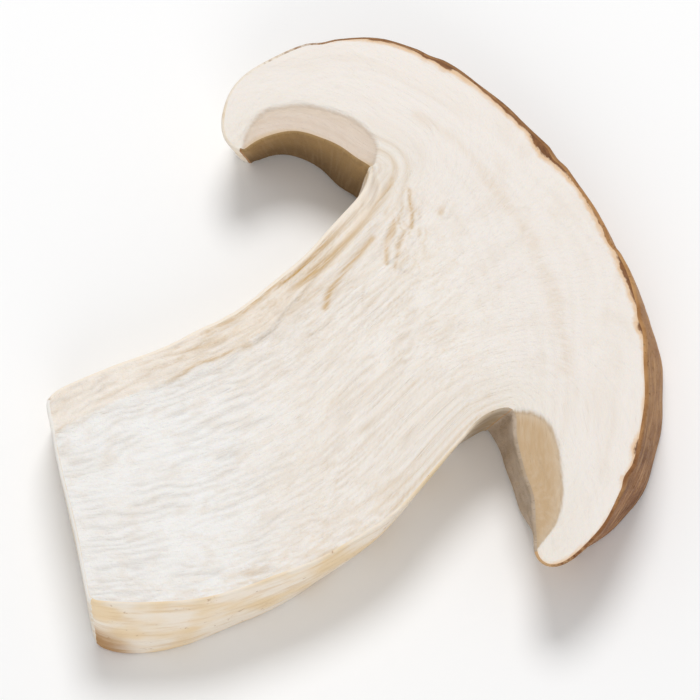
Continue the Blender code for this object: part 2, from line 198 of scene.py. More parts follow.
# Single creases: how ochre they are, how much grey shade is painted in them, their half width, and
# how long the patches are in which they are strong or faint
Crease = namedtuple("Crease", "line ochre grey half_width patch_length")
CREASES = [
    # the folds that run up past the left hollow
    Crease(
        [(-6.2, 0.8), (-7.9, 2.8), (-9.1, 5.4), (-9.9, 8.2), (-11.0, 10.8)],
        ochre=0.95, grey=0.05, half_width=0.42, patch_length=9.0,
    ),
    Crease(
        [
            (-6.7, -8.0), (-6.9, -6.2), (-7.6, -4.2), (-8.7, -2.0), (-9.6, 0.2), (-10.6, 3.6),
            (-11.6, 7.0),
        ],
        ochre=0.15, grey=1.0, half_width=0.25, patch_length=9.0,
    ),
    Crease(
        [
            (-8.8, -1.0), (-10.4, 1.8), (-11.5, 4.7), (-12.6, 7.5), (-13.8, 10.6), (-15.2, 13.4),
            (-17.0, 15.8),
        ],
        ochre=0.35, grey=0.5, half_width=0.24, patch_length=3.0,
    ),
    Crease(
        [(-11.0, -0.8), (-11.8, 2.2), (-12.8, 5.6), (-14.0, 8.8), (-16.1, 13.0)],
        ochre=0.4, grey=0.45, half_width=0.22, patch_length=3.0,
    ),
    Crease(
        [(-12.0, -11.5), (-11.9, -7.6), (-12.3, -4.0), (-13.1, -0.4)],
        ochre=0.85, grey=0.0, half_width=0.45, patch_length=12.0,
    ),
    # the border of the cream strip down the stem's left side, and lines beside it
    Crease(
        [
            (-9.9, -33.6), (-9.7, -30.0), (-9.0, -26.0), (-8.3, -20.7), (-8.3, -15.6), (-7.6, -11.6),
            (-6.8, -8.6),
        ],
        ochre=0.85, grey=0.2, half_width=0.32, patch_length=16.0,
    ),
    Crease(
        [(-10.5, -27.8), (-10.8, -24.4), (-10.8, -20.0), (-10.2, -15.0), (-9.6, -10.0)],
        ochre=0.35, grey=0.3, half_width=0.24, patch_length=5.0,
    ),
    Crease(
        [(-7.6, -19.2), (-6.6, -15.4), (-5.4, -12.0)],
        ochre=0.1, grey=0.5, half_width=0.22, patch_length=6.0,
    ),
    # short strokes in the torn place and round it
    Crease(
        [(-7.0, 10.2), (-8.4, 11.2), (-9.6, 12.0), (-11.4, 14.0)],
        ochre=0.8, grey=0.0, half_width=0.26, patch_length=2.2,
    ),
    Crease(
        [(-6.0, 10.6), (-8.0, 12.7), (-9.6, 14.5)],
        ochre=0.75, grey=0.0, half_width=0.18, patch_length=1.4,
    ),
    Crease(
        [(-9.6, 15.2), (-11.9, 17.0), (-13.9, 18.3)],
        ochre=1.0, grey=0.0, half_width=0.24, patch_length=3.0,
    ),
    Crease(
        [(-11.0, 14.2), (-12.8, 16.2)],
        ochre=0.7, grey=0.0, half_width=0.18, patch_length=2.0,
    ),
    Crease(
        [(-6.9, 10.5), (-4.7, 11.5), (-3.1, 13.2)],
        ochre=0.12, grey=0.22, half_width=0.26, patch_length=3.0,
    ),
    Crease(
        [(-3.4, 4.0), (-5.4, 5.6), (-7.2, 7.6)],
        ochre=0.25, grey=0.3, half_width=0.2, patch_length=2.4,
    ),
    Crease(
        [(-9.4, 19.2), (-10.0, 20.5)],
        ochre=0.7, grey=0.0, half_width=0.45, patch_length=3.0,
    ),
]
CREASE_DEPTH = 0.12
# Sets of strands side by side: the place that they fill and how fully, what they run beside, their
# spacing, the length of their bends, the depth of the gaps between them, how ochre those are, and
# how much grey shade is painted in them
Strands = namedtuple("Strands", "place fullness beside pitch length seed depth ochre grey")
STRANDS = [
    # wavy ripples in the stem's middle, finer and shorter where it meets the cap
    Strands("stem", 1.0, "across", 1.2, 7.5, seed=21, depth=0.09, ochre=0.0, grey=0.52),
    Strands("stem", 0.6, "across", 0.66, 4.5, seed=25, depth=0.04, ochre=0.03, grey=0.24),
    Strands("junction", 1.0, "across", 1.0, 3.0, seed=29, depth=0.09, ochre=0.24, grey=0.3),
    Strands("junction", 0.6, "across", 0.55, 1.8, seed=33, depth=0.05, ochre=0.25, grey=0.15),
    # strands that follow the stem's two edges and part round the hollows
    Strands("left_hollow", 1.0, "left", 1.7, 13.0, seed=41, depth=0.34, ochre=1.3, grey=0.36),
    Strands("left_hollow", 0.8, "left", 0.8, 7.0, seed=57, depth=0.12, ochre=0.65, grey=0.3),
    Strands("left_edge", 1.0, "left", 1.3, 15.0, seed=45, depth=0.12, ochre=0.28, grey=0.12),
    Strands("right_edge", 1.0, "right", 1.2, 12.0, seed=49, depth=0.12, ochre=0.6, grey=0.1),
    # growth lines that follow the cap's skin
    Strands("cap", 1.0, "skin", 1.6, 9.0, seed=71, depth=0.03, ochre=0.06, grey=0.06),
]
# The shares of the way from the cut end to the skin between which the stem ends and the cap starts,
# and the middle and reach of the junction between them
STEM_ENDS = (0.42, 0.6)
CAP_STARTS = (0.66, 0.82)
JUNCTION_AT = 0.58
JUNCTION_REACH = 0.13
BOTTOM_STRAND_PITCH = 1.3
BOTTOM_STRAND_LENGTH = 8.0
BOTTOM_TINT = 0.25
# How sharply the gaps between strands are cut
GAP_SHARPNESS = 1.6
# A faint warm line under the cap's skin
GROWTH_LINE = [
    (-22.0, 25.0), (-16.1, 26.5), (-9.8, 26.4), (-2.8, 25.8), (4.8, 24.2), (11.0, 21.6), (16.0, 18.6),
]
GROWTH_WIDTH = 0.8
GROWTH_OCHRE = 0.2
# Points along each drawn line, and along the cap's skin
LINE_STEPS = 40
EDGE_STEPS = 30
SKIN_STEPS = 240
# How wide the brown edge of the skin shows on the upper face, low on the right, high on the right
# and over the top of the cap, and its thicker patches as (share of the way along the skin, how much
# wider, reach as such a share)
RIM_BROWN = (0.16, 0.66, 0.52)
RIM_PATCHES = [
    (0.148, 0.55, 0.009), (0.184, 0.55, 0.013), (0.27, 0.15, 0.01), (0.322, 0.35, 0.008),
    (0.385, 0.2, 0.009), (0.43, 0.15, 0.012), (0.539, 0.6, 0.022), (0.60, 0.15, 0.01),
    (0.68, 0.3, 0.008), (0.702, 0.2, 0.007), (0.76, 0.2, 0.009),
]
# The share of the way along the skin at which its brown gives way to the left lip's pale margin
PALE_MARGIN = 0.84


def curve_through(points, steps=16):
    """A fine Catmull-Rom curve through the points."""
    knots = np.array(points, float)
    knots = np.vstack([2 * knots[0] - knots[1], knots, 2 * knots[-1] - knots[-2]])
    t = (np.arange(steps) / steps)[:, None]
    parts = []
    for a, b, c, d in zip(knots, knots[1:], knots[2:], knots[3:]):
        parts.append(
            0.5 * (2 * b + (c - a) * t + (2 * a - 5 * b + 4 * c - d) * t**2
                   + (3 * b - a - 3 * c + d) * t**3)
        )
    parts.append(knots[-2:-1])
    return np.vstack(parts)


def path_lengths(points):
    return np.concatenate([[0.0], np.cumsum(np.linalg.norm(np.diff(points, axis=0), axis=1))])


def spaced(points, count):
    """count + 1 points at equal distances along the curve through the points."""
    curve = curve_through(points)
    travelled = path_lengths(curve)
    wanted = np.linspace(0, travelled[-1], count + 1)
    return np.column_stack([np.interp(wanted, travelled, curve[:, axis]) for axis in range(2)])


def distance_to(line, points):
    """How far each point is from a line of points."""
    best = np.full(len(points), np.inf)
    for a, b in zip(line, line[1:]):
        side = b - a
        share = np.clip(((points - a) @ side) / (side @ side), 0, 1)
        gap = points - a - share[:, None] * side
        best = np.minimum(best, np.hypot(gap[:, 0], gap[:, 1]))
    return best


def inside(ring, points):
    """Whether each point is within a closed ring."""
    found = np.zeros(len(points), bool)
    x, y = points[:, 0], points[:, 1]
    for a, b in zip(np.roll(ring, 1, axis=0), ring):
        if a[1] == b[1]:
            continue
        crossing = a[0] + (b[0] - a[0]) * (y - a[1]) / (b[1] - a[1])
        found ^= ((a[1] > y) != (b[1] > y)) & (x < crossing)
    return found


def smooth_step(low, high, value):
    share = np.clip((value - low) / (high - low), 0, 1)
    return share * share * (3 - 2 * share)


def lattice(ix, iy, seed):
    """A repeatable random number from -1 to 1 for each whole-number position."""
    mixed = (ix * 374761393 + iy * 668265263 + seed * 974634777) & 0xFFFFFFFF
    mixed = ((mixed ^ (mixed >> 13)) * 1274126177) & 0xFFFFFFFF
    return ((mixed ^ (mixed >> 16)) & 0xFFFF) / 32767.5 - 1


def noise(x, y, seed):
    """Smooth noise from -1 to 1 that changes over about one unit."""
    ix, iy = np.floor(x).astype(np.int64), np.floor(y).astype(np.int64)
    fx, fy = x - ix, y - iy
    sx, sy = fx * fx * (3 - 2 * fx), fy * fy * (3 - 2 * fy)
    low = lattice(ix, iy, seed) * (1 - sx) + lattice(ix + 1, iy, seed) * sx
    high = lattice(ix, iy + 1, seed) * (1 - sx) + lattice(ix + 1, iy + 1, seed) * sx
    return low * (1 - sy) + high * sy


def layered(x, y, seed, layers=3):
    """Noise with finer noise on it, each layer half as high."""
    total = sum(noise(x * 2**k, y * 2**k, seed + k) / 2**k for k in range(layers))
    return total / sum(0.5**k for k in range(layers))


def strands(across, along, pitch, length, seed):
    """Strands side by side: (1 on each back and 0 in the gap between two, how strong they are)."""
    bend = 0.8 * noise(across / (2.5 * pitch), along / length, seed)
    bend += 0.35 * noise(across / (1.2 * pitch), along / (0.45 * length), seed + 1)
    back = 0.5 + 0.5 * np.cos(2 * math.pi * (across / pitch + bend))
    strong = smooth_step(-0.6, 0.6, noise(across / (1.6 * pitch), along / (0.6 * length), seed + 2))
    return back, strong


class Outline:
    """One face's closed outline in columns, with what each column belongs to."""

    def __init__(self, face, counts):
        points, stretches, shares, phases = [], [], [], []
        before = 0
        for name, count in counts.items():
            share = np.arange(count) / count
            points.append(spaced(face[name], count)[:-1])
            stretches += [name] * count
            shares.append(share)
            phases.append(before + share * CAD_COLUMNS[name])
            before += CAD_COLUMNS[name]
        ring = np.vstack(points)
        for _ in range(CORNER_SOFTENING):
            ring = (np.roll(ring, 1, axis=0) + 2 * ring + np.roll(ring, -1, axis=0)) / 4
        self.points = ring
        self.stretch = np.array(stretches)
        self.share = np.concatenate(shares)
        self.phase = np.concatenate(phases) / before
        ahead = np.roll(self.points, -1, axis=0) - self.points
        ahead /= np.linalg.norm(ahead, axis=1)[:, None]
        along = ahead + np.roll(ahead, 1, axis=0)
        along /= np.linalg.norm(along, axis=1)[:, None]
        self.out = np.column_stack([along[:, 1], -along[:, 0]])


class Face:
    """Distances and fibre directions on one cut face."""

    def __init__(self, face, tubes):
        line = {name: spaced(points, EDGE_STEPS) for name, points in face.items()}
        self.cut = line["cut_end"]
        self.skin = spaced(face["skin"], SKIN_STEPS)
        self.left = np.vstack([line["pores_left"][:-1], line["stem_left"]])
        self.right = np.vstack([line["stem_right"][:-1], line["pores_right"]])
        self.tubes = []
        for name, points in tubes.items():
            border = spaced(points, EDGE_STEPS)
            self.tubes.append((border, np.vstack([line[name][:-1], border[:0:-1]])))

    def skin_share(self, points):
        """The share of the way along the skin that is nearest to each point."""
        nearest = np.zeros(len(points))
        best = np.full(len(points), np.inf)
        for i, (x, y) in enumerate(self.skin):
            gap = (points[:, 0] - x) ** 2 + (points[:, 1] - y) ** 2
            nearest = np.where(gap < best, i / (len(self.skin) - 1), nearest)
            best = np.minimum(best, gap)
        return nearest

    def measure(self, points):
        """A dict of arrays for the points: distances to the edges, and the way along the fibres."""
        found = {
            "points": points,
            "skin": distance_to(self.skin, points),
            "left": distance_to(self.left, points),
            "right": distance_to(self.right, points),
            "cut": distance_to(self.cut, points),
        }
        found["across"] = found["left"] / (found["left"] + found["right"])
        found["along"] = found["cut"] / (found["cut"] + found["skin"])
        found["tube"] = self.tube_depth(points)
        return found

    def tube_depth(self, points):
        """How far each point is into the tube layer, below zero outside it."""
        deepest = np.full(len(points), -np.inf)
        for border, ring in self.tubes:
            gap = distance_to(border, points)
            deepest = np.maximum(deepest, np.where(inside(ring, points), gap, -gap))
        return deepest


def past_shoulder(points):
    """Whether each point is on the side of the shoulder ridge that drops to the stem's left."""
    ring = np.vstack([spaced(SHOULDER_RIDGE, LINE_STEPS), spaced(TOP_FACE["stem_left"], LINE_STEPS)])
    return inside(ring, points)


def brown_width(share):
    """How far the skin's brown edge reaches over the face, at a share of the way along it."""
    low, high, top = RIM_BROWN
    width = low + (high - low) * smooth_step(0.26, 0.42, share)
    width += (top - high) * smooth_step(0.55, 0.65, share) + 0.1 * noise(share * 70, share * 9, 401)
    width -= 0.3 * smooth_step(0.05, 0.0, share)
    for at, extra, reach in RIM_PATCHES:
        width += extra * np.exp(-((share - at) / reach) ** 2)
    return width - 1.2 * smooth_step(PALE_MARGIN - 0.06, PALE_MARGIN + 0.03, share)


class Surface:
    """The relief of a cut face's points, how ochre they are, and how much grey shade is painted on them."""

    def __init__(self, count):
        self.relief = np.zeros(count)
        self.ochre = np.zeros(count)
        self.grey = np.zeros(count)

    def groove(self, share, depth, ochre, grey):
        """Sink the points, tint them ochre and paint grey shade on them, fully where the share is 1."""
        self.relief = self.relief - depth * share
        self.ochre = np.maximum(self.ochre, ochre * share)
        self.grey = np.maximum(self.grey, grey * share)


def shoulder_drop(points):
    """How far each point is down from the shoulder ridge to the stem's left edge, 1 at the edge."""
    to_ridge = distance_to(spaced(SHOULDER_RIDGE, LINE_STEPS), points)
    to_edge = distance_to(spaced(TOP_FACE["stem_left"], LINE_STEPS), points)
    return smooth_step(0, 1, to_ridge / (to_ridge + to_edge + 1e-6)) * past_shoulder(points)


def add_ridges(surface, points, u, v):
    for ridge in RIDGES:
        reach = distance_to(spaced(ridge, LINE_STEPS), points) / RIDGE_WIDTH
        surface.relief += RIDGE_HEIGHT * np.exp(-reach**2) * (0.8 + 0.5 * noise(v / 4, u / 6, 5))


def strand_places(got):
    """How much each point belongs to each place that strands fill."""
    along, left, right = got["along"], got["left"], got["right"]
    in_cap = smooth_step(*CAP_STARTS, along)
    up_left = smooth_step(0.24, 0.5, along) * (1 - 0.75 * in_cap)
    up_right = smooth_step(0.12, 0.4, along) * (1 - in_cap)
    return {
        "stem": 1 - smooth_step(*STEM_ENDS, along),
        "junction": np.exp(-(((along - JUNCTION_AT) / JUNCTION_REACH) ** 2)),
        "left_hollow": np.exp(-((left / 5.0) ** 2)) * up_left,
        "left_edge": np.exp(-((left / 6.0) ** 2)) * (1 - smooth_step(0.25, 0.5, along)),
        "right_edge": np.exp(-((right / 4.0) ** 2)) * up_right,
        "cap": in_cap * smooth_step(1.5, 4.0, got["skin"]),
    }


def add_strands(surface, got, u, v):
    places = strand_places(got)
    for row in STRANDS:
        across = u if row.beside == "across" else got[row.beside]
        ahead = u if row.beside == "skin" else v
        back, strong = strands(across, ahead, row.pitch, row.length, row.seed)
        gap = row.fullness * places[row.place] * strong * (1 - back) ** GAP_SHARPNESS
        surface.groove(gap, row.depth, row.ochre, row.grey)


def add_creases(surface, points, sway, u, v):
    for number, crease in enumerate(CREASES):
        reach = distance_to(spaced(crease.line, LINE_STEPS), points + sway)
        strong = smooth_step(-1.0, 0.3, noise(v / crease.patch_length, u / 3, 91 + number))
        share = strong * np.exp(-((reach / crease.half_width) ** 2))
        surface.groove(share, CREASE_DEPTH, crease.ochre, crease.grey)


def add_torn_fibres(surface, points, sway):
    """Short fibres side by side in the torn place, and a few that stand up more."""
    heading = np.array((math.cos(TORN_HEADING), math.sin(TORN_HEADING)))
    off = points - np.array(TORN_AT)
    ahead, aside = off @ heading, off @ np.array((heading[1], -heading[0]))
    torn = np.exp(-((ahead / TORN_REACH[0]) ** 2) - (aside / TORN_REACH[1]) ** 2)
    bent = aside + 0.3 * noise(ahead / 2, aside / 2, 89)
    back, strong = strands(bent, ahead, TORN_PITCH, TORN_LENGTH, 87)
    surface.relief += TORN_HEIGHT * torn * strong * back
    surface.groove(torn * strong * (1 - back) ** GAP_SHARPNESS, depth=0.0, ochre=1.0, grey=0.0)
    for flake in FLAKES:
        reach = distance_to(np.array(flake), points + 0.5 * sway)
        surface.relief += FLAKE_HEIGHT * np.exp(-((reach / FLAKE_WIDTH) ** 2))


def top_surface(got):
    """(height, ochre, grey) on the upper cut face: how ochre each point is, and its painted grey shade."""
    points = got["points"]
    u, v = got["across"] * STEM_WIDTH, got["along"] * SLICE_LENGTH
    sway = 0.3 * np.column_stack([noise(v / 3, u / 3, 81), noise(v / 3, u / 3, 83)])
    surface = Surface(len(points))
    add_ridges(surface, points, u, v)
    add_strands(surface, got, u, v)
    reach = distance_to(spaced(GROWTH_LINE, LINE_STEPS), points) + 0.5 * noise(u / 2, v / 2, 75)
    surface.groove(np.exp(-((reach / GROWTH_WIDTH) ** 2)), depth=0.0, ochre=GROWTH_OCHRE, grey=0.0)
    add_creases(surface, points, sway, u, v)
    add_torn_fibres(surface, points, sway)

    in_cap = smooth_step(*CAP_STARTS, got["along"])
    junction = strand_places(got)["junction"]
    surface.relief += 0.04 * (1 - 0.5 * in_cap) * layered(u / 1.3, v / 4, 31)
    surface.relief += 0.05 * junction * layered(u / 0.9, v / 1.4, 61)
    in_tube = smooth_step(*TUBE_EDGE, got["tube"])
    outside = 1 - in_tube
    level = THICKNESS - SHOULDER_DROP * shoulder_drop(points) - TUBE_RECESS * in_tube
    height = level + surface.relief * outside + 0.02 * layered(u / 0.6, v / 0.9, 85)
    return height, surface.ochre * outside, surface.grey * outside


def bottom_surface(got):
    """(height, ochre, grey) on the lower cut face, flat on the ground apart from its tubes."""
    u, v = got["across"] * STEM_WIDTH, got["along"] * SLICE_LENGTH
    in_tube = smooth_step(*TUBE_EDGE, got["tube"])
    back, strong = strands(u, v, BOTTOM_STRAND_PITCH, BOTTOM_STRAND_LENGTH, 121)
    gap = strong * (1 - back) ** GAP_SHARPNESS * (1 - 0.7 * smooth_step(0.55, 0.75, got["along"]))
    fibres = 0.12 * gap + 0.03 * (1 + layered(u / 0.9, v / 3, 131))
    height = TUBE_RECESS * in_tube + fibres * (1 - 0.6 * in_tube)
    # the gaps between its strands get ochre and painted grey shade in the same share
    tint = BOTTOM_TINT * gap * (1 - in_tube)
    return height, tint, tint


def face_fill(ring, pitch, seed):
    """(points, triangles) that fill the ring, whose own points come first."""
    low, high = ring.min(axis=0), ring.max(axis=0)
    row_pitch = pitch * math.sqrt(3) / 2
    rows = np.arange(low[1], high[1], row_pitch)
    columns = np.arange(low[0], high[0], pitch)
    x, y = np.meshgrid(columns, rows)
    x = x + 0.5 * pitch * (np.arange(len(rows)) % 2)[:, None]
    grid = np.column_stack([x.ravel(), y.ravel()])
    grid += 0.12 * pitch * np.column_stack(
        [noise(grid[:, 0] * 3, grid[:, 1] * 3, seed), noise(grid[:, 0] * 3, grid[:, 1] * 3, seed + 1)]
    )
    grid = grid[inside(ring, grid)]
    grid = grid[distance_to(np.vstack([ring, ring[:1]]), grid) > 0.6 * pitch]
    points = np.vstack([ring, grid])
    count = len(ring)
    sides = [(i, (i + 1) % count) for i in range(count)]
    inner_triangles = 1
    filled = delaunay_2d_cdt([Vector(p) for p in points], sides, [], inner_triangles, 1e-5)
    origin = [ids[0] for ids in filled[3]]
    return points, np.array([[origin[i] for i in triangle] for triangle in filled[2]])


def nick_depth(share):
    return sum(depth * smooth_step(0, 1, 1 - np.abs(share - at) / NICK_REACH)
               for at, depth in RIM_NICKS)


def wall_relief(stretch, arc, height, share_down):
    """How far the wall's own texture stands out at each column, for one row."""
    skin = (stretch == "skin") * (
        0.07 * layered(arc / 3.2, height / 2.4, 201) + 0.04 * layered(arc / 0.9, height / 0.8, 205)
    )
    back, strong = strands(height + 0.4 * noise(arc / 5, height / 5, 219), arc, 1.1, 11.0, 221)
    stem = np.isin(stretch, ("stem_left", "stem_right")) * (
        0.04 * layered(arc / 4.0, height / 0.8, 225) - 0.12 * strong * (1 - back) ** 2
    )
    cell = np.sin(2 * math.pi * arc / 0.92 + math.pi * np.floor(height / 0.8))
    pores = np.isin(stretch, ("pores_left", "pores_right")) * (
        0.035 * cell * np.sin(2 * math.pi * height / 1.6) + 0.03 * layered(arc, height, 231) - 0.03
    )
    cut = (stretch == "cut_end") * 0.05 * layered(arc / 0.8, height / 0.8, 241)
    # it dies away at the wall's two edges, so that they stay clean
    return (skin + stem + pores + cut) * np.minimum(1, 6 * share_down * (1 - share_down) + 0.15)


def stain_and_shade(outline, height):
    """How stained the stem's right side is by its cut corner's foot, and how much shade is painted by the
    hollow.
    """
    corner = smooth_step(0.14, 0.01, outline.share) * smooth_step(7.0, 0.5, height)
    # painted shade, deepening into the hollow at the stem's end and carried on over the pores beside it
    hollow = smooth_step(0.86, 0.97, outline.share)
    pores = outline.stretch == "pores_right"
    return (outline.stretch == "stem_right") * (corner + 0.8 * hollow) + 0.8 * pores


def wall_rows():
    """(shares of the way down, insets) of the wall's rows, with a rounded edge at each end."""
    quarter = np.linspace(0, math.pi / 2, RIM_STEPS + 1)
    inset = RIM_RADIUS * (1 - np.sin(quarter))
    drop = RIM_RADIUS * (1 - np.cos(quarter)) / THICKNESS
    middle = np.linspace(drop[-1], 1 - drop[-1], WALL_STEPS + 1)[1:-1]
    shares = np.concatenate([drop, middle, 1 - drop[::-1]])
    insets = np.concatenate([inset, np.zeros(len(middle)), inset[::-1]])
    return shares, insets


def wall_ring(top, bottom, arc, share_down, rim_inset, textured=False):
    """The wall's outline at a share of the way down, moved in by the rounded edge's inset."""
    out = top.out * (1 - share_down) + bottom.out * share_down
    out /= np.linalg.norm(out, axis=1)[:, None]
    offset = np.array([BULGE[name] for name in top.stretch])
    offset = offset * np.sin(math.pi * top.share) * 4 * share_down * (1 - share_down)
    grown = top.stretch != "cut_end"
    for waves, height in WALL_WAVES:
        wave = np.sin(2 * math.pi * waves * top.phase + WAVE_TURN * share_down)
        offset = offset + grown * height * wave
    nicks = nick_depth(top.share) * (top.stretch == "skin") * max(0.0, 1 - share_down / NICK_FOOT)
    offset = offset - nicks - rim_inset
    if textured:
        height = np.full(len(top.points), THICKNESS * (1 - share_down))
        offset = offset + wall_relief(top.stretch, arc, height, share_down)
    return top.points * (1 - share_down) + bottom.points * share_down + out * offset[:, None]


class CutSurface:
    """One cut face filled with points: their triangles, heights and measures."""

    def __init__(self, face, ring, pitch, seed, surface):
        self.flat, self.triangles = face_fill(ring, pitch, seed)
        got = face.measure(self.flat)
        height, ochre, grey = surface(got)
        self.points = np.column_stack([self.flat, height])
        self.lay = np.column_stack(
            [got["across"] * STEM_WIDTH, got["along"] * SLICE_LENGTH, got["along"]]
        )
        browned = brown_width(face.skin_share(self.flat)) - got["skin"]
        self.reach = np.column_stack([browned, got["left"], got["right"]])
        # the tone holds the depth into the tubes, the ochre, and the painted grey shade
        self.tone = np.column_stack([got["tube"], ochre, grey])


def slice_faces(stretch, upper, lower, lower_start, rows):
    """(faces, material slots) of both cut faces and the wall between them."""
    faces = [tuple(t) for t in upper.triangles.tolist()]
    faces += [tuple(t) for t in (lower.triangles[:, ::-1] + lower_start).tolist()]
    slots = [0] * len(faces)
    column_slots = [WALL_SLOT[name] for name in stretch]
    ahead = np.roll(np.arange(len(stretch)), -1)
    for high, low in zip(rows, rows[1:]):
        quads = np.column_stack([high, low, low[ahead], high[ahead]])
        faces += [tuple(q) for q in quads.tolist()]
        slots += column_slots
    return faces, slots


def surface_measures(vertices, top, arc, upper, lower, lower_start, rows, shares):
    """The named measures of each vertex that the materials read."""
    found = {name: np.zeros((len(vertices), 3)) for name in ("lay", "reach", "tone", "way", "mark")}
    for start, cut in ((0, upper), (lower_start, lower)):
        at = slice(start, start + len(cut.flat))
        found["lay"][at] = cut.lay
        found["reach"][at] = cut.reach
        found["tone"][at] = cut.tone
    # marks: the stem's strip past the shoulder on the upper face or, on the wall, how near its
    # upper edge is; the stem's stain and painted shade; and the slice's left side
    found["mark"][: len(upper.flat), 0] = past_shoulder(upper.flat)
    for share_down, row in zip(shares, rows):
        z = vertices[row, 2]
        found["way"][row] = np.column_stack([arc, z, top.share])
        if share_down > 0:
            found["mark"][row, 0] = smooth_step(*EDGE_FADE, share_down)
        found["mark"][row, 1] = stain_and_shade(top, z)
        found["mark"][row, 2] = np.isin(top.stretch, ("pores_left", "stem_left"))
    return found


def shift_to_frame(vertices):
    """Where the outlines sit in the row frame, whose CAD box has the slice's middle as its own."""
    middle = (vertices[:, :2].min(axis=0) + vertices[:, :2].max(axis=0)) / 2
    cad_low, cad_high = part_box(NODE)
    return np.array((cad_low + cad_high) / 2)[:2] / METRES_PER_MM - middle


def slice_mesh():
    """The slice as one closed mesh, with the measures that its materials read."""
    counts = {}
    for name, points in TOP_FACE.items():
        counts[name] = round(path_lengths(curve_through(points))[-1] / COLUMN_PITCH)
    top, bottom = Outline(TOP_FACE, counts), Outline(BOTTOM_FACE, counts)
    total = len(top.points)
    arc = path_lengths(np.vstack([top.points, top.points[:1]]))[:-1]
    shares, insets = wall_rows()
    top_ring = wall_ring(top, bottom, arc, 0, RIM_RADIUS)
    bottom_ring = wall_ring(top, bottom, arc, 1, RIM_RADIUS)
    upper = CutSurface(Face(TOP_FACE, TOP_TUBES), top_ring, TOP_PITCH, 301, top_surface)
    lower = CutSurface(Face(BOTTOM_FACE, BOTTOM_TUBES), bottom_ring, BOTTOM_PITCH, 311, bottom_surface)

    high, low = upper.points[:total, 2], lower.points[:total, 2]
    parts = [upper.points]
    rows = [np.arange(total)]
    made = len(upper.points)
    for share_down, rim_inset in zip(shares[1:-1], insets[1:-1]):
        flat = wall_ring(top, bottom, arc, share_down, rim_inset, textured=True)
        parts.append(np.column_stack([flat, high + (low - high) * share_down]))
        rows.append(made + np.arange(total))
        made += total
    rows.append(made + np.arange(total))
    parts.append(lower.points)
    vertices = np.vstack(parts)

    faces, slots = slice_faces(top.stretch, upper, lower, made, rows)
    measures = surface_measures(vertices, top, arc, upper, lower, made, rows, shares)
    shift = shift_to_frame(vertices)
    vertices[:, :2] += shift
    data = bpy.data.meshes.new("porcini")
    data.from_pydata((vertices * METRES_PER_MM).tolist(), [], faces)
    data.polygons.foreach_set("material_index", slots)
    for name, values in measures.items():
        layer = data.attributes.new(name, "FLOAT_VECTOR", "POINT")
        layer.data.foreach_set("vector", values.astype(np.float32).ravel())
    data.validate()
    data.update()
    data.shade_smooth()
    return data, shift


# Materials
# How deep light goes into the flesh, in metres, and the shares of that depth for red, green and blue
GLOW_DEPTH = 0.0015
GLOW_COLOUR_SPREAD = (1.0, 0.75, 0.5)


class Nodes:
    """A short way to wire a material's nodes."""

    def __init__(self, name):
        self.material = bpy.data.materials.new(name)
        self.material.use_nodes = True
        self.tree = self.material.node_tree
        self.shader = self.tree.nodes["Principled BSDF"]

    def wire(self, value, socket):
        if isinstance(value, bpy.types.NodeSocket):
            self.tree.links.new(value, socket)
        else:
            socket.default_value = value

    def node(self, kind, inputs=(), **settings):
        made = self.tree.nodes.new(kind)
        for key, value in settings.items():
            setattr(made, key, value)
        for key, value in dict(inputs).items():
            self.wire(value, made.inputs[key])
        return made

    def attribute(self, name):
        return self.node("ShaderNodeAttribute", attribute_name=name).outputs["Vector"]

    def split(self, vector):
        return self.node("ShaderNodeSeparateXYZ", {0: vector}).outputs

    def join(self, x, y, z=0.0):
        return self.node("ShaderNodeCombineXYZ", {0: x, 1: y, 2: z}).outputs[0]

    def maths(self, operation, a, b):
        return self.node("ShaderNodeMath", {0: a, 1: b}, operation=operation).outputs[0]

    def product(self, *factors):
        made = factors[0]
        for factor in factors[1:]:
            made = self.maths("MULTIPLY", made, factor)
        return made

    def noise(self, vector, scale=1.0, detail=3.0, roughness=0.5, distortion=0.0):
        inputs = {"Vector": vector, "Scale": scale, "Detail": detail, "Roughness": roughness,
                  "Distortion": distortion}
        return self.node("ShaderNodeTexNoise", inputs).outputs["Fac"]

    def band(self, value, low, high, start=0.0, end=1.0):
        """A smooth change from start to end while the value goes from low to high."""
        inputs = {"Value": value, "From Min": low, "From Max": high, "To Min": start, "To Max": end}
        return self.node("ShaderNodeMapRange", inputs, interpolation_type="SMOOTHSTEP").outputs[0]

    def mix(self, share, a, b):
        made = self.tree.nodes.new("ShaderNodeMix")
        made.data_type = "RGBA"
        self.wire(share, made.inputs[0])
        self.wire(a, made.inputs[6])
        self.wire(b, made.inputs[7])
        return made.outputs[2]

    def bump(self, height, strength, distance):
        inputs = {"Strength": strength, "Distance": distance, "Height": height}
        return self.node("ShaderNodeBump", inputs).outputs[0]

    def finish(self, colour, roughness, normal, specular, subsurface=0.0):
        self.wire(colour, self.shader.inputs["Base Color"])
        self.wire(roughness, self.shader.inputs["Roughness"])
        self.wire(normal, self.shader.inputs["Normal"])
        self.shader.inputs["Specular IOR Level"].default_value = specular
        if subsurface:
            self.shader.inputs["Subsurface Weight"].default_value = subsurface
            self.shader.inputs["Subsurface Scale"].default_value = GLOW_DEPTH
            self.shader.inputs["Subsurface Radius"].default_value = GLOW_COLOUR_SPREAD
        return self.material


def linear(red, green, blue, light=1.0):
    """A display colour from 0 to 255 as a scene colour that shows so under that much light."""
    made = []
    for level in (red, green, blue):
        level /= 255
        value = level / 12.92 if level <= 0.04045 else ((level + 0.055) / 1.055) ** 2.4
        made.append(min(0.95, value / light))
    return (*made, 1.0)


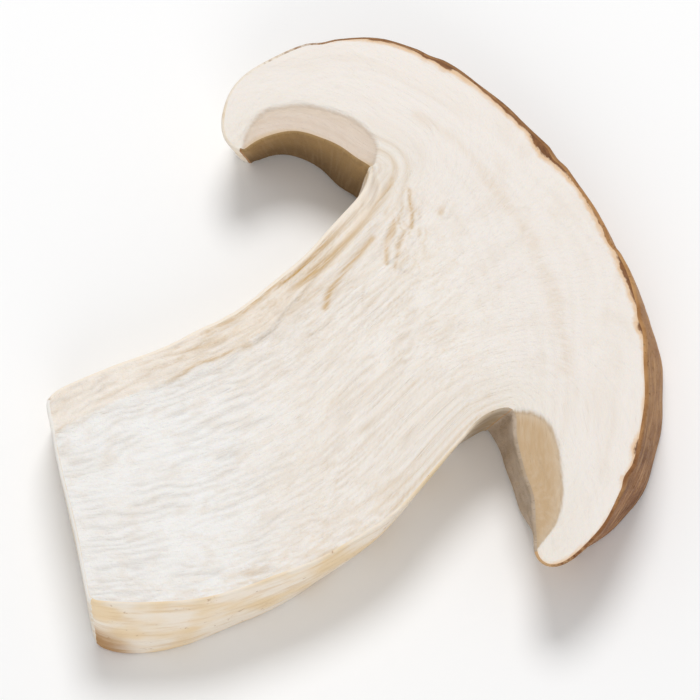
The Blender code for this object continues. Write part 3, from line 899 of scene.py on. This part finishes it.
def flesh_inputs(n):
    """The measures and noises that the tints of the two cut faces read."""
    u, v, along = n.split(n.attribute("lay"))
    browned, left, right = n.split(n.attribute("reach"))
    # the tone's third part is the grey shade painted in the gaps and creases
    tube, ochre, grey = n.split(n.attribute("tone"))

    def fibres(width, length, seed, detail, distortion=0.0):
        vector = n.join(n.maths("DIVIDE", u, width), n.maths("DIVIDE", v, length), seed)
        return n.noise(vector, 1.0, detail, 0.55, distortion)

    return SimpleNamespace(
        u=u,
        v=v,
        along=along,
        browned=browned,
        left=left,
        right=right,
        lips=n.maths("MINIMUM", left, right),
        tube=tube,
        ochre=ochre,
        grey=grey,
        shoulder=n.split(n.attribute("mark"))[0],
        broad=fibres(6.0, 16.0, 1.0, 2.0),
        mottle=fibres(2.4, 4.0, 25.0, 3.0, 0.4),
        fine=fibres(0.7, 3.4, 7.0, 4.0, 0.6),
        hair=fibres(0.28, 2.2, 13.0, 3.0, 0.5),
        grain=fibres(0.5, 0.8, 19.0, 4.0),
    )


def flesh_tint(n, f):
    """White at the stem's foot and creamier up to the cap, with soft warm streaks."""
    white, cream, pale = linear(244, 242, 239), linear(243, 237, 230), linear(238, 231, 224)
    margin, strip = linear(236, 229, 220), linear(246, 235, 222)
    warm, mottled = linear(228, 206, 176), linear(230, 219, 207)
    colour = n.mix(n.band(f.along, 0.28, 0.52), white, cream)
    colour = n.mix(n.band(f.along, 0.66, 0.84), colour, pale)
    colour = n.mix(n.product(n.band(f.lips, 8.0, 2.0), n.band(f.along, 0.6, 0.8)), colour, margin)
    colour = n.mix(n.product(f.shoulder, 0.75), colour, strip)
    # the streaks run along the fibres, stronger by the stem's edges
    edge = n.maths("MAXIMUM", n.band(f.left, 6.0, 1.0), n.band(f.right, 5.0, 0.6))
    amount = n.maths("ADD", n.band(f.along, 0.1, 0.5, 0.04, 0.2), n.product(edge, 0.22))
    in_stem = n.band(f.along, 0.82, 0.66)
    colour = n.mix(n.product(amount, in_stem, n.band(f.fine, 0.42, 0.68)), colour, warm)
    colour = n.mix(n.band(f.broad, 0.5, 0.7, 0.0, 0.25), colour, margin)
    colour = n.mix(n.band(f.mottle, 0.45, 0.7, 0.0, 0.4), colour, mottled)
    # warm specks where the stem meets the cap
    speck = n.product(n.band(f.grain, 0.56, 0.7, 0.0, 0.3), n.band(f.along, 0.3, 0.55))
    return n.mix(n.product(speck, n.band(f.along, 0.85, 0.7, 0.25, 1.0)), colour, warm)


def gap_tint(n, f, colour):
    """The gaps between strands and the creases: painted grey shade and ochre, broken up by the finer
    fibres.
    """
    broken = n.band(f.hair, 0.3, 0.6, 0.45, 1.1)
    # painted shade: grey where the gaps and creases lie in shadow
    colour = n.mix(n.product(f.grey, broken, 0.5), colour, linear(176, 168, 158))
    return n.mix(n.product(f.ochre, broken, 0.8), colour, linear(200, 162, 100))


def tube_tint(n, f, colour):
    """The tube layer, greyish beige on the left and ochre on the right: partly its own colour, partly
    painted shading.
    """
    on_right = n.band(f.u, 8.0, 26.0)
    tubes = n.mix(on_right, linear(219, 203, 188), linear(196, 167, 130))
    border = n.mix(on_right, linear(211, 195, 176), linear(212, 194, 170))
    mouth = n.mix(on_right, linear(206, 178, 138), linear(182, 158, 126))
    walls = n.noise(n.join(n.product(f.u, 2.4), n.maths("DIVIDE", f.v, 14.0), 51.0), 1.0, 2.0)
    tubes = n.mix(n.band(walls, 0.35, 0.7, 0.0, 0.14), tubes, linear(184, 154, 120))
    tubes = n.mix(n.band(f.tube, 1.6, 0.15, 0.0, 0.5), tubes, border)
    tubes = n.mix(n.band(f.grain, 0.4, 0.7, 0.0, 0.12), tubes, linear(236, 226, 210))
    # browner where they open on to the pores
    tubes = n.mix(n.band(f.lips, 0.95, 0.1, 0.0, 0.75), tubes, mouth)
    ragged = n.maths("ADD", f.tube, n.band(f.hair, 0.3, 0.7, -0.07, 0.07))
    return n.mix(n.band(ragged, -0.16, 0.22), colour, tubes)


def rim_tint(n, f, colour):
    """The browned edge under the skin, of uneven width, with an ochre halo inside it."""
    jag = n.noise(n.join(n.maths("DIVIDE", f.u, 0.5), n.maths("DIVIDE", f.v, 0.9), 61.0), 1.0, 4.0, 0.65)
    depth = n.maths("ADD", f.browned, n.band(jag, 0.25, 0.75, -0.18, 0.18))
    colour = n.mix(n.band(depth, -0.7, -0.05, 0.0, 0.75), colour, linear(224, 182, 132))
    browns = n.mix(n.band(jag, 0.35, 0.65), linear(104, 66, 36), linear(138, 92, 52))
    return n.mix(n.band(depth, -0.05, 0.2), colour, browns)


def flesh_material():
    n = Nodes("flesh")
    f = flesh_inputs(n)
    colour = gap_tint(n, f, flesh_tint(n, f))
    colour = rim_tint(n, f, tube_tint(n, f, colour))
    height = n.maths("ADD", n.product(f.fine, 0.5), n.product(f.hair, 0.5))
    height = n.maths("ADD", height, n.product(f.grain, 0.5))
    roughness = n.band(f.fine, 0.3, 0.7, 0.62, 0.78)
    return n.finish(colour, roughness, n.bump(height, 0.9, 0.0003), specular=0.35, subsurface=0.1)


def cut_material():
    """The stem's cut end: pale grainy flesh with a few darker stains."""
    n = Nodes("cut_flesh")
    arc, height, _ = n.split(n.attribute("way"))
    by_edge = n.split(n.attribute("mark"))[0]
    grain = n.noise(n.join(n.maths("DIVIDE", arc, 0.7), n.maths("DIVIDE", height, 0.6), 3.0), 1.0, 4.0, 0.6)
    colour = n.mix(n.band(grain, 0.35, 0.7), linear(236, 230, 221), linear(226, 208, 182))
    darkening = n.band(n.noise(n.join(arc, height, 9.0), 0.3, 2.0), 0.5, 0.75, 0.0, 0.5)
    colour = n.mix(darkening, colour, linear(214, 186, 148))
    # the flesh shows white round its upper edge
    colour = n.mix(by_edge, colour, linear(240, 236, 230))
    return n.finish(colour, 0.72, n.bump(grain, 0.5, 0.0003), specular=0.35, subsurface=0.1)


def skin_material():
    """The cap's brown skin: darker round its right side, pale at its two lips."""
    n = Nodes("cap_skin")
    arc, height, share = n.split(n.attribute("way"))
    place = n.join(arc, height, 5.0)
    broad = n.noise(place, 0.22, 3.0, 0.6)
    along_rim = n.join(n.maths("DIVIDE", arc, 5.0), n.maths("DIVIDE", height, 0.8), 7.0)
    streak = n.noise(along_rim, 1.0, 4.0, 0.6, 0.3)
    fleck = n.noise(place, 1.7, 4.0, 0.7, 0.4)
    light = n.mix(n.band(broad, 0.34, 0.66), linear(184, 138, 88), linear(156, 108, 62))
    dark = n.mix(n.band(broad, 0.34, 0.66), linear(150, 102, 62), linear(118, 74, 40))
    colour = n.mix(n.band(share, 0.3, 0.12), light, dark)
    # darker again over the top of the cap
    colour = n.mix(n.band(share, 0.45, 0.6, 0.0, 0.55), colour, linear(104, 66, 36))
    colour = n.mix(n.band(streak, 0.45, 0.7, 0.0, 0.55), colour, linear(206, 160, 108))
    colour = n.mix(n.band(fleck, 0.57, 0.7, 0.0, 0.75), colour, linear(92, 54, 26))
    ragged = n.maths("ADD", share, n.band(fleck, 0.3, 0.7, -0.03, 0.03))
    colour = n.mix(n.band(ragged, 0.07, 0.0, 0.0, 0.8), colour, linear(214, 176, 130))
    cream = n.mix(n.band(streak, 0.4, 0.7), linear(238, 228, 214), linear(226, 206, 178))
    colour = n.mix(n.band(ragged, PALE_MARGIN - 0.05, PALE_MARGIN + 0.05), colour, cream)
    relief = n.maths("ADD", n.product(streak, 0.5), fleck)
    roughness = n.band(fleck, 0.35, 0.7, 0.55, 0.72)
    return n.finish(colour, roughness, n.bump(relief, 0.6, 0.0003), specular=0.25)


def pore_material():
    """The pored walls of the hollows, browner and darker in the left one, partly own colour and partly
    painted shade.
    """
    n = Nodes("pores")
    arc, height, _ = n.split(n.attribute("way"))
    on_left = n.split(n.attribute("mark"))[2]
    place = n.join(arc, height, 0.0)
    cells = n.node("ShaderNodeTexVoronoi", {"Vector": place, "Scale": 3.4}).outputs["Distance"]
    down = n.join(n.maths("DIVIDE", arc, 0.5), n.maths("DIVIDE", height, 5.0), 9.0)
    tubes = n.noise(down, 1.0, 3.0)
    broad = n.noise(place, 0.4, 3.0)
    right = n.mix(n.band(broad, 0.35, 0.68), linear(190, 173, 155), linear(172, 153, 132))
    # the left wall's brown is partly its own and partly painted shade, darker towards its foot
    left = n.mix(n.band(height, 8.8, 2.0), linear(160, 130, 88), linear(120, 96, 66))
    left = n.mix(n.band(broad, 0.4, 0.7, 0.0, 0.5), left, linear(134, 108, 76))
    colour = n.mix(on_left, right, left)
    fewer_on_left = n.maths("SUBTRACT", 1.0, n.product(on_left, 0.6))
    streaks = n.product(n.band(tubes, 0.45, 0.7, 0.0, 0.22), fewer_on_left)
    colour = n.mix(streaks, colour, linear(206, 182, 148))
    # painted shade: darker in the pore mouths
    colour = n.mix(n.band(cells, 0.4, 0.05, 0.0, 0.3), colour, linear(112, 82, 52))
    return n.finish(colour, 0.85, n.bump(cells, 0.35, 0.0002), specular=0.15)


def stem_material():
    """The stem's outer skin: cream with tan streaks along it, stained in one place and with painted shade
    in another.
    """
    n = Nodes("stem_skin")
    arc, height, share = n.split(n.attribute("way"))
    by_edge, stain_and_shade_share, on_left = n.split(n.attribute("mark"))
    streaks_at = n.join(n.maths("DIVIDE", arc, 7.0), n.maths("DIVIDE", height, 0.6), 3.0)
    lines = n.noise(streaks_at, 1.0, 4.0, 0.6, 0.3)
    broad = n.noise(n.join(n.product(arc, 0.5), height, 17.0), 0.3, 2.0)
    fleck = n.noise(n.join(n.maths("DIVIDE", arc, 2.0), height, 23.0), 1.2, 4.0, 0.7)
    cream, tan = linear(238, 227, 212, 0.95), linear(232, 209, 174, 0.95)
    colour = n.mix(n.band(broad, 0.38, 0.62), cream, tan)
    colour = n.mix(n.band(lines, 0.48, 0.7, 0.0, 0.38), colour, linear(210, 174, 124))
    colour = n.mix(n.band(fleck, 0.63, 0.72, 0.0, 0.7), colour, linear(158, 108, 60))
    # a brown stain at the foot of the corner by the cut end, and grey-brown painted shade in the hollow by
    # the pores
    darkening = n.product(stain_and_shade_share, n.band(lines, 0.3, 0.7, 0.8, 1.1))
    stain_and_painted_shade = n.mix(n.band(share, 0.4, 0.6), linear(168, 122, 70), linear(158, 138, 112))
    colour = n.mix(n.band(darkening, 0.1, 0.9, 0.0, 0.85), colour, stain_and_painted_shade)
    colour = n.mix(n.product(by_edge, on_left), colour, cream)
    relief = n.maths("ADD", lines, n.product(fleck, 0.4))
    return n.finish(colour, 0.78, n.bump(relief, 0.6, 0.0003), specular=0.3, subsurface=0.06)


def build_slice():
    data, shift = slice_mesh()
    piece = bpy.data.objects.new("porcini", data)
    bpy.context.scene.collection.objects.link(piece)
    for material in (flesh_material, cut_material, skin_material, pore_material, stem_material):
        data.materials.append(material())
    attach(piece, "root")
    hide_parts(NODE)
    return shift


# Camera, floor and light, in metres and watts
AZIMUTH = math.radians(55)
ELEVATION = math.radians(57)
CAMERA_AWAY = 0.9
# How wide the view is at that distance
VIEW_WIDTH = 0.07935
# The sensor's width alone is in millimetres, as Blender has it
SENSOR_WIDTH = 36.0
FLOOR_WIDTH = 6.0
FLOOR_WHITE = (0.95, 0.95, 0.95, 1.0)
SKY_STRENGTH = 0.5


def camera_back():
    flat = math.cos(ELEVATION)
    return Vector((math.sin(AZIMUTH) * flat, -math.cos(AZIMUTH) * flat, math.sin(ELEVATION)))


def add_camera(target):
    data = bpy.data.cameras.new("camera")
    data.sensor_width = SENSOR_WIDTH
    data.lens = SENSOR_WIDTH * CAMERA_AWAY / VIEW_WIDTH
    data.clip_start = 0.01
    data.clip_end = 10.0
    camera = bpy.data.objects.new("camera", data)
    camera.location = target + camera_back() * CAMERA_AWAY
    camera.rotation_euler = camera_back().to_track_quat("Z", "Y").to_euler()
    bpy.context.scene.collection.objects.link(camera)
    bpy.context.scene.camera = camera


def add_light(name, place, target, size, energy):
    data = bpy.data.lights.new(name, "AREA")
    data.shape = "DISK"
    data.size = size
    data.energy = energy
    light = bpy.data.objects.new(name, data)
    light.location = place
    light.rotation_euler = (place - target).to_track_quat("Z", "Y").to_euler()
    bpy.context.scene.collection.objects.link(light)


def add_floor():
    data = bpy.data.meshes.new("floor")
    half = FLOOR_WIDTH / 2
    corners = [(-half, -half, 0.0), (half, -half, 0.0), (half, half, 0.0), (-half, half, 0.0)]
    data.from_pydata(corners, [], [(0, 1, 2, 3)])
    n = Nodes("floor")
    n.shader.inputs["Base Color"].default_value = FLOOR_WHITE
    n.shader.inputs["Roughness"].default_value = 0.9
    n.shader.inputs["Specular IOR Level"].default_value = 0.1
    data.materials.append(n.material)
    floor = bpy.data.objects.new("floor", data)
    bpy.context.scene.collection.objects.link(floor)


def add_studio(target):
    world = bpy.data.worlds.new("studio")
    world.use_nodes = True
    background = world.node_tree.nodes["Background"]
    background.inputs["Color"].default_value = (1.0, 1.0, 1.0, 1.0)
    background.inputs["Strength"].default_value = SKY_STRENGTH
    bpy.context.scene.world = world
    behind = Vector((-math.sin(AZIMUTH), math.cos(AZIMUTH), 0.0))
    key_place = target + behind * 0.45 + Vector((0, 0, 0.7))
    fill_place = target - behind * 0.9 + Vector((0, 0, 0.4))
    add_light("key", key_place, target, size=0.42, energy=3.7)
    add_light("fill", fill_place, target, size=0.6, energy=2.4)
    view = bpy.context.scene.view_settings
    view.view_transform = "Standard"
    view.look = "None"


shift = build_slice()
target = Vector((shift[0], shift[1], THICKNESS)) * METRES_PER_MM
add_floor()
add_camera(target)
add_studio(target)
